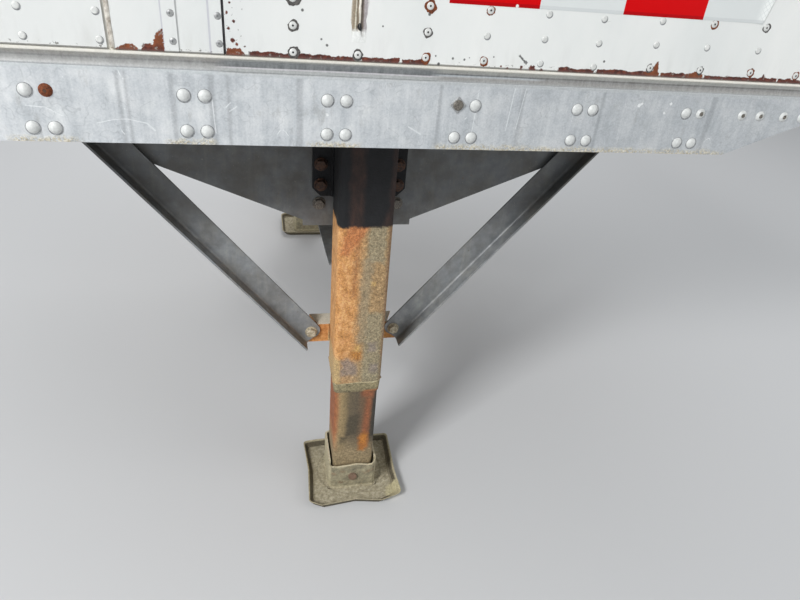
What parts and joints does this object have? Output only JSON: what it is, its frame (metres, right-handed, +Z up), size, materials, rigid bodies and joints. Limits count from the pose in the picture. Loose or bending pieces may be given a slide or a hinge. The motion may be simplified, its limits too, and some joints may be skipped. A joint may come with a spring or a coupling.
{
  "type": "semi trailer landing gear bay",
  "caption": "Landing gear bay of a semi trailer: riveted bottom rails, cross members and floor on a braced two-leg landing gear with gearbox, cross shaft and folding crank.",
  "frame": {"origin": "on the ground, half way between the two legs, in line with their axes", "axes": "+X to the front of the trailer, +Y to its left (road) side, +Z up"},
  "size_m": [2.26, 2.438, 1.46],
  "materials": {
    "rail_aluminium": "weathered mill finish",
    "sheet_white_paint": "gloss white paint, chipped and rusty along its lower edge",
    "beam_steel": "dull extruded aluminium",
    "floor_hardwood": "worn laminated hardwood",
    "leg_rusty_paint": "dark paint gone to orange rust",
    "drop_leg_steel": "dark grey steel with orange rust",
    "foot_steel": "dusty greenish beige",
    "tab_rust": "orange rust",
    "galvanised_steel": "dull galvanised grey",
    "gearbox_cast_iron": "dark painted casting",
    "shaft_steel": "dull steel with light rust"
  },
  "bodies": {
    "bay": {"crank_hook": "shaft_steel", "cross_member_1": "beam_steel", "cross_member_10": "beam_steel", "cross_member_2": "beam_steel", "cross_member_3": "beam_steel", "cross_member_4": "beam_steel", "cross_member_5": "beam_steel", "cross_member_6": "beam_steel", "cross_member_7": "beam_steel", "cross_member_8": "beam_steel", "cross_member_9": "beam_steel", "cross_shaft": "shaft_steel", "floor_boards": "floor_hardwood", "front_cross_tie": "galvanised_steel", "gearbox": "gearbox_cast_iron", "input_shaft": "shaft_steel", "left_brace_tab": "tab_rust", "left_drop_leg": "drop_leg_steel", "left_foot_box": "foot_steel", "left_foot_pin": "shaft_steel", "left_front_brace": "galvanised_steel", "left_front_side_sheet": "sheet_white_paint", "left_leg_plate": "leg_rusty_paint", "left_outer_leg": "leg_rusty_paint", "left_rail": "rail_aluminium", "left_rear_brace": "galvanised_steel", "left_rear_side_sheet": "sheet_white_paint", "left_sand_shoe": "foot_steel", "left_shaft_coupling": "shaft_steel", "left_side_joint_post": "sheet_white_paint", "left_tie_lugs": "galvanised_steel", "left_wing_plate": "galvanised_steel", "rear_cross_tie": "galvanised_steel", "right_brace_tab": "tab_rust", "right_drop_leg": "drop_leg_steel", "right_foot_box": "foot_steel", "right_foot_pin": "shaft_steel", "right_front_brace": "galvanised_steel", "right_front_side_sheet": "sheet_white_paint", "right_leg_plate": "leg_rusty_paint", "right_outer_leg": "leg_rusty_paint", "right_rail": "rail_aluminium", "right_rear_brace": "galvanised_steel", "right_rear_side_sheet": "sheet_white_paint", "right_sand_shoe": "foot_steel", "right_shaft_coupling": "shaft_steel", "right_side_joint_post": "sheet_white_paint", "right_tie_lugs": "galvanised_steel", "right_wing_plate": "galvanised_steel"},
    "crank": {"crank": "shaft_steel"}
  },
  "joints": [
    {"name": "crank_fold", "type": "hinge", "parent": "bay", "child": "crank", "pos_m": [0, 1.18, 1.04], "axis": [0, 0, 1], "range_deg": [-90, 0]}
  ]
}
